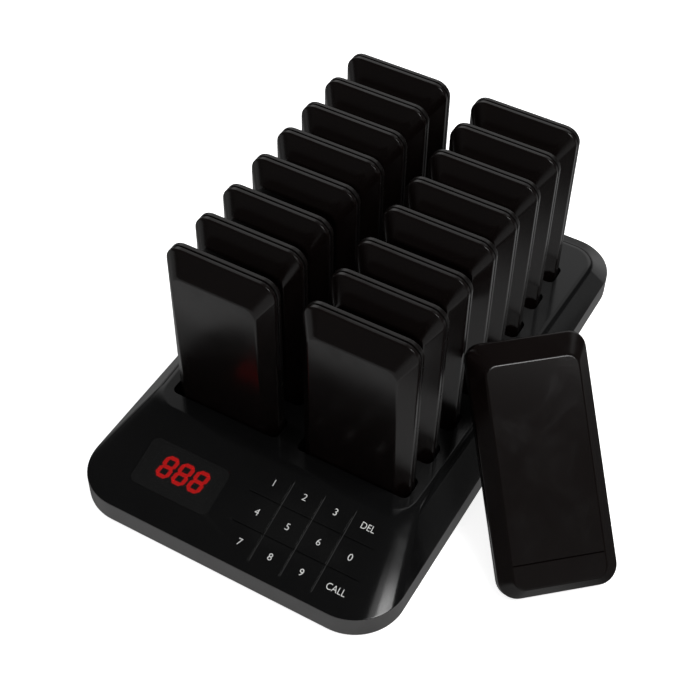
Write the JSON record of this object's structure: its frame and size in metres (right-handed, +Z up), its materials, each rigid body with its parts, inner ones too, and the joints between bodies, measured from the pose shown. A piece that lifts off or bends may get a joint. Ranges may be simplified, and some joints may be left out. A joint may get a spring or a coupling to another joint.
{
  "type": "guest pager system",
  "caption": "Desk charging base with a sloped display and touch keypad, holding upright guest pagers in slots, with one pager leaning beside it.",
  "frame": {"origin": "on the table, under the centre of the base; the underside of the housing is 1 mm above it, on its rubber feet", "axes": "+X to the right along the front edge, +Y from the control panel towards the rear, +Z up"},
  "size_m": [0.2325, 0.2644, 0.1169],
  "materials": {
    "cover_gloss": "near-black high-gloss ABS",
    "shell_satin": "dark grey satin ABS",
    "window_smoked": "smoked acrylic, polished",
    "segment_red": "red lit bar",
    "module_black": "black moulded",
    "circuit_green": "green solder mask",
    "spring_steel": "plated spring steel",
    "chip_black": "moulded package",
    "shield_steel": "tinned steel can",
    "wire_jacket": "PVC jacket",
    "rack_black": "black moulded, fine texture",
    "contact_brass": "gold plated",
    "ribbon_grey": "grey PVC",
    "inlet_black": "black moulded with a plated centre pin",
    "foot_rubber": "soft rubber",
    "screw_steel": "zinc-plated cross-head",
    "pager_front_gloss": "near-black gloss ABS",
    "pager_back_satin": "near-black semi-gloss ABS",
    "cell_foil": "pouch cell foil",
    "led_clear": "clear lens over the die"
  },
  "bodies": {
    "base": {"top_cover": "cover_gloss", "bottom_shell": "shell_satin", "display_window": "window_smoked", "display_segments": "segment_red", "display_module": "module_black", "control_board": "circuit_green", "touch_springs": "spring_steel", "controller_chip": "chip_black", "radio_module": "shield_steel", "antenna_wire": "wire_jacket", "buzzer": "module_black", "left_rack": "rack_black", "right_rack": "rack_black", "charging_board": "circuit_green", "left_contact_pins": "contact_brass", "right_contact_pins": "contact_brass", "ribbon_cable": "ribbon_grey", "power_inlet": "inlet_black", "rubber_feet": "foot_rubber", "housing_screws": "screw_steel", "board_screws": "screw_steel"},
    "pager_01": {"pager_01_front_shell": "pager_front_gloss", "pager_01_back_shell": "pager_back_satin"},
    "pager_02": {"pager_02_front_shell": "pager_front_gloss", "pager_02_back_shell": "pager_back_satin"},
    "pager_03": {"pager_03_front_shell": "pager_front_gloss", "pager_03_back_shell": "pager_back_satin"},
    "pager_04": {"pager_04_front_shell": "pager_front_gloss", "pager_04_back_shell": "pager_back_satin"},
    "pager_05": {"pager_05_front_shell": "pager_front_gloss", "pager_05_back_shell": "pager_back_satin"},
    "pager_06": {"pager_06_front_shell": "pager_front_gloss", "pager_06_back_shell": "pager_back_satin"},
    "pager_07": {"pager_07_front_shell": "pager_front_gloss", "pager_07_back_shell": "pager_back_satin"},
    "pager_08": {"pager_08_front_shell": "pager_front_gloss", "pager_08_back_shell": "pager_back_satin"},
    "pager_09": {"pager_09_front_shell": "pager_front_gloss", "pager_09_back_shell": "pager_back_satin"},
    "pager_10": {"pager_10_front_shell": "pager_front_gloss", "pager_10_back_shell": "pager_back_satin"},
    "pager_11": {"pager_11_front_shell": "pager_front_gloss", "pager_11_back_shell": "pager_back_satin"},
    "pager_12": {"pager_12_front_shell": "pager_front_gloss", "pager_12_back_shell": "pager_back_satin"},
    "pager_13": {"pager_13_front_shell": "pager_front_gloss", "pager_13_back_shell": "pager_back_satin"},
    "pager_14": {"pager_14_front_shell": "pager_front_gloss", "pager_14_back_shell": "pager_back_satin"},
    "pager_15": {"pager_15_front_shell": "pager_front_gloss", "pager_15_back_shell": "pager_back_satin"},
    "pager_16": {"pager_16_front_shell": "pager_front_gloss", "pager_16_back_shell": "pager_back_satin"},
    "pager_17": {"pager_17_front_shell": "pager_front_gloss", "pager_17_back_shell": "pager_back_satin", "pager_17_battery": "cell_foil", "pager_17_circuit_board": "circuit_green", "pager_17_vibration_motor": "shield_steel", "pager_17_charge_contacts": "contact_brass", "pager_17_signal_leds": "led_clear"}
  },
  "joints": [
    {"name": "pager_01_lift", "type": "slide", "parent": "base", "child": "pager_01", "axis": [0, 0, 1], "range_m": [0, 0.06]},
    {"name": "pager_02_lift", "type": "slide", "parent": "base", "child": "pager_02", "axis": [0, 0, 1], "range_m": [0, 0.06]},
    {"name": "pager_03_lift", "type": "slide", "parent": "base", "child": "pager_03", "axis": [0, 0, 1], "range_m": [0, 0.06]},
    {"name": "pager_04_lift", "type": "slide", "parent": "base", "child": "pager_04", "axis": [0, 0, 1], "range_m": [0, 0.06]},
    {"name": "pager_05_lift", "type": "slide", "parent": "base", "child": "pager_05", "axis": [0, 0, 1], "range_m": [0, 0.06]},
    {"name": "pager_06_lift", "type": "slide", "parent": "base", "child": "pager_06", "axis": [0, 0, 1], "range_m": [0, 0.06]},
    {"name": "pager_07_lift", "type": "slide", "parent": "base", "child": "pager_07", "axis": [0, 0, 1], "range_m": [0, 0.06]},
    {"name": "pager_08_lift", "type": "slide", "parent": "base", "child": "pager_08", "axis": [0, 0, 1], "range_m": [0, 0.06]},
    {"name": "pager_09_lift", "type": "slide", "parent": "base", "child": "pager_09", "axis": [0, 0, 1], "range_m": [0, 0.06]},
    {"name": "pager_10_lift", "type": "slide", "parent": "base", "child": "pager_10", "axis": [0, 0, 1], "range_m": [0, 0.06]},
    {"name": "pager_11_lift", "type": "slide", "parent": "base", "child": "pager_11", "axis": [0, 0, 1], "range_m": [0, 0.06]},
    {"name": "pager_12_lift", "type": "slide", "parent": "base", "child": "pager_12", "axis": [0, 0, 1], "range_m": [0, 0.06]},
    {"name": "pager_13_lift", "type": "slide", "parent": "base", "child": "pager_13", "axis": [0, 0, 1], "range_m": [0, 0.06]},
    {"name": "pager_14_lift", "type": "slide", "parent": "base", "child": "pager_14", "axis": [0, 0, 1], "range_m": [0, 0.06]},
    {"name": "pager_15_lift", "type": "slide", "parent": "base", "child": "pager_15", "axis": [0, 0, 1], "range_m": [0, 0.06]},
    {"name": "pager_16_lift", "type": "slide", "parent": "base", "child": "pager_16", "axis": [0, 0, 1], "range_m": [0, 0.06]},
    {"name": "pager_17_lift", "type": "slide", "parent": "base", "child": "pager_17", "axis": [0, 0, 1], "range_m": [0, 0.05]}
  ]
}
